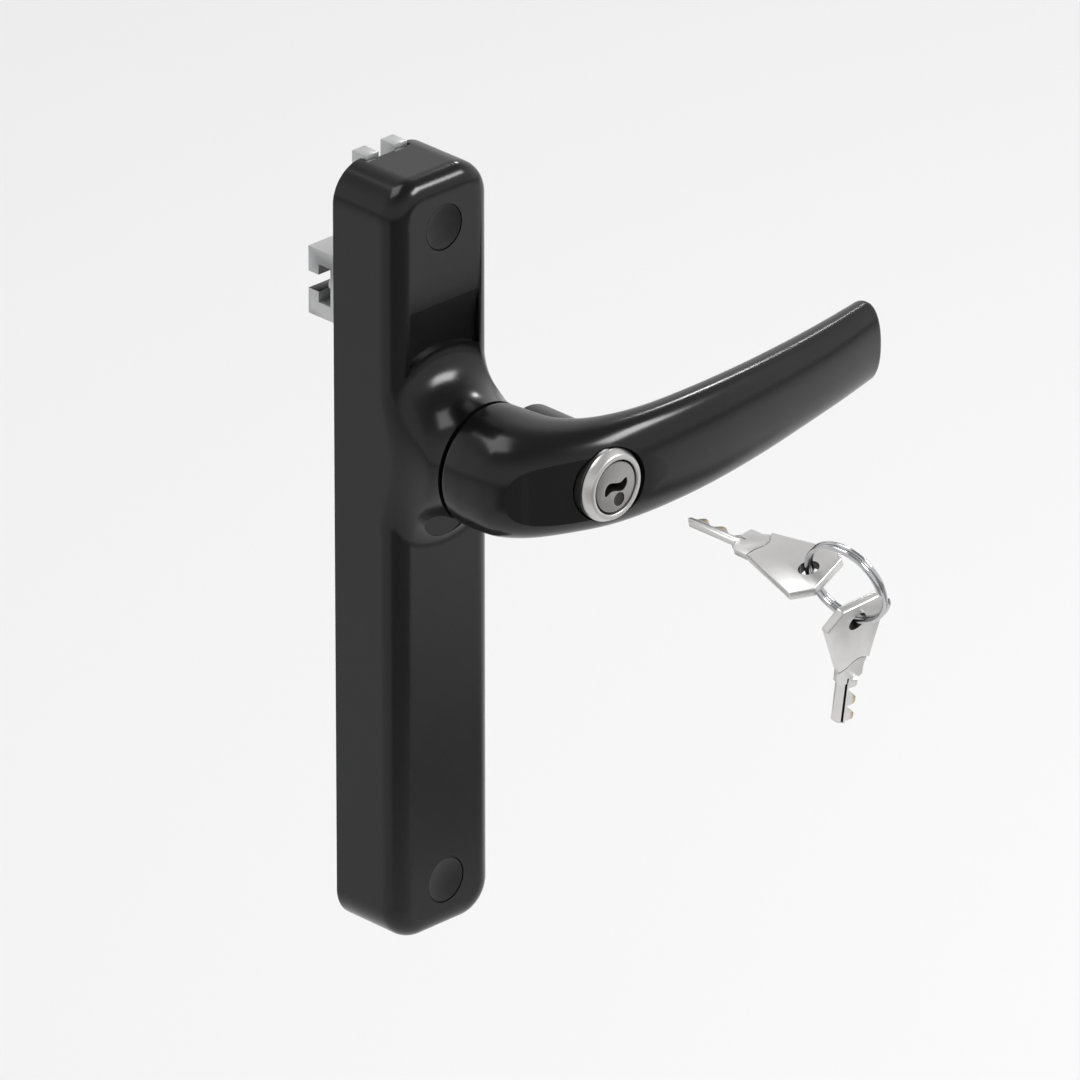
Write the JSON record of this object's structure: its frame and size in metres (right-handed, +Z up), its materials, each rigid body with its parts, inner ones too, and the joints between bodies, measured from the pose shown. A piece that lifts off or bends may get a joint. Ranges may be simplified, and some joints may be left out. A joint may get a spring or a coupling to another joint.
{
  "type": "lever handle lockset",
  "caption": "Lockable lever handle on a narrow upright housing; turning it slides a forked drive bar behind, and a push-in cylinder with keys blocks it.",
  "frame": {"origin": "on the lever's turning axis, in the plane where the housing meets the sash", "axes": "+X to the right along the resting lever, +Y into the sash, +Z up"},
  "size_m": [0.1138, 0.1476, 0.1724],
  "materials": {
    "black_lacquer": "gloss black lacquer on die-cast zinc",
    "black_plastic": "semi-gloss black plastic",
    "black_sleeve": "gloss black plated barrel",
    "zinc": "satin die-cast zinc, passivated",
    "steel": "zinc-plated steel",
    "spring_steel": "drawn spring wire",
    "nylon": "natural nylon",
    "satin_nickel": "satin nickel, turned",
    "key_nickel": "satin nickel-plated brass",
    "brass": "stamped brass",
    "chrome": "bright nickel-plated spring wire"
  },
  "bodies": {
    "frame": {"housing": "black_lacquer", "back_plate": "zinc", "back_plate_screw_left": "steel", "back_plate_screw_right": "steel", "back_plate_screw_middle": "steel", "back_plate_screw_lower": "steel", "fixing_screw_upper": "steel", "fixing_screw_lower": "steel", "screw_cap_upper": "black_plastic", "screw_cap_lower": "black_plastic", "neck_bush": "nylon", "detent_block": "nylon", "detent_spring": "spring_steel"},
    "detent": {"detent_ball": "steel"},
    "slider": {"rack": "zinc", "runner_bar": "zinc", "runner_screw_lower": "steel", "runner_screw_upper": "steel", "drive_block": "zinc", "drive_block_screw_left": "steel", "drive_block_screw_right": "steel"},
    "handle": {"lever": "black_lacquer", "spindle": "steel", "spindle_clip": "steel", "friction_washer": "steel", "pinion": "zinc", "guide_pin": "steel", "return_spring": "spring_steel"},
    "lock_barrel": {"lock_sleeve": "black_sleeve", "lock_flange": "satin_nickel"},
    "lock_core": {"lock_plug": "satin_nickel", "locking_cam": "steel"},
    "catch": {"catch_pin": "steel"},
    "wafer_a": {"wafer_1": "brass"},
    "wafer_b": {"wafer_2": "brass"},
    "wafer_c": {"wafer_3": "brass"},
    "wafer_d": {"wafer_4": "brass"},
    "first_key": {"key_1": "key_nickel"},
    "ring": {"key_ring": "chrome"},
    "second_key": {"key_2": "key_nickel"}
  },
  "joints": [
    {"name": "handle_turn", "type": "hinge", "parent": "frame", "child": "handle", "pos_m": [0, 0, 0], "axis": [0, 1, 0], "range_deg": [0, 90]},
    {"name": "rack_slide", "type": "slide", "parent": "frame", "child": "slider", "axis": [0, 0, -1], "range_m": [0, 0.01257]},
    {"name": "detent_click", "type": "slide", "parent": "frame", "child": "detent", "axis": [0, 0, 1], "range_m": [0, 0.0007]},
    {"name": "lock_push", "type": "slide", "parent": "handle", "child": "lock_barrel", "axis": [0, 1, 0], "range_m": [0, 0.0045], "stiffness_N_per_m": 400, "deforming": ["return_spring"]},
    {"name": "plug_turn", "type": "hinge", "parent": "lock_barrel", "child": "lock_core", "pos_m": [0.011, -0.0571, 0], "axis": [0, 1, 0], "range_deg": [0, 90]},
    {"name": "catch_slide", "type": "slide", "parent": "lock_barrel", "child": "catch", "axis": [0, 0, -1], "range_m": [0, 0.00101]},
    {"name": "key_insert", "type": "slide", "parent": "lock_core", "child": "first_key", "axis": [0, 1, 0], "range_m": [0, 0.0345]},
    {"name": "wafer_a_lift", "type": "slide", "parent": "lock_core", "child": "wafer_a", "axis": [0.9563, 0, 0.2924], "range_m": [0, 0.0003]},
    {"name": "wafer_b_lift", "type": "slide", "parent": "lock_core", "child": "wafer_b", "axis": [-0.9563, 0, -0.2924], "range_m": [0, 0.0003]},
    {"name": "wafer_c_lift", "type": "slide", "parent": "lock_core", "child": "wafer_c", "axis": [0.9563, 0, 0.2924], "range_m": [0, 0.0003]},
    {"name": "wafer_d_lift", "type": "slide", "parent": "lock_core", "child": "wafer_d", "axis": [-0.9563, 0, -0.2924], "range_m": [0, 0.0003]},
    {"name": "ring_swing", "type": "hinge", "parent": "first_key", "child": "ring", "pos_m": [0.011, -0.1125, 0], "axis": [-0.2924, 0, 0.9563], "range_deg": [-35, 35]},
    {"name": "second_key_swing", "type": "hinge", "parent": "ring", "child": "second_key", "pos_m": [0.01484, -0.12146, -0.00865], "axis": [-0.132, 0.9912, 0], "range_deg": [-30, 30]}
  ],
  "couplings": [
    {"joint": "rack_slide", "follows": "handle_turn", "m_per_rad": 0.008},
    {"joint": "catch_slide", "follows": "plug_turn", "m_per_rad": 0.00063662},
    {"joint": "wafer_a_lift", "follows": "key_insert", "ratio": 0.0084058},
    {"joint": "wafer_b_lift", "follows": "key_insert", "ratio": 0.0084058},
    {"joint": "wafer_c_lift", "follows": "key_insert", "ratio": 0.0084058},
    {"joint": "wafer_d_lift", "follows": "key_insert", "ratio": 0.0084058}
  ]
}
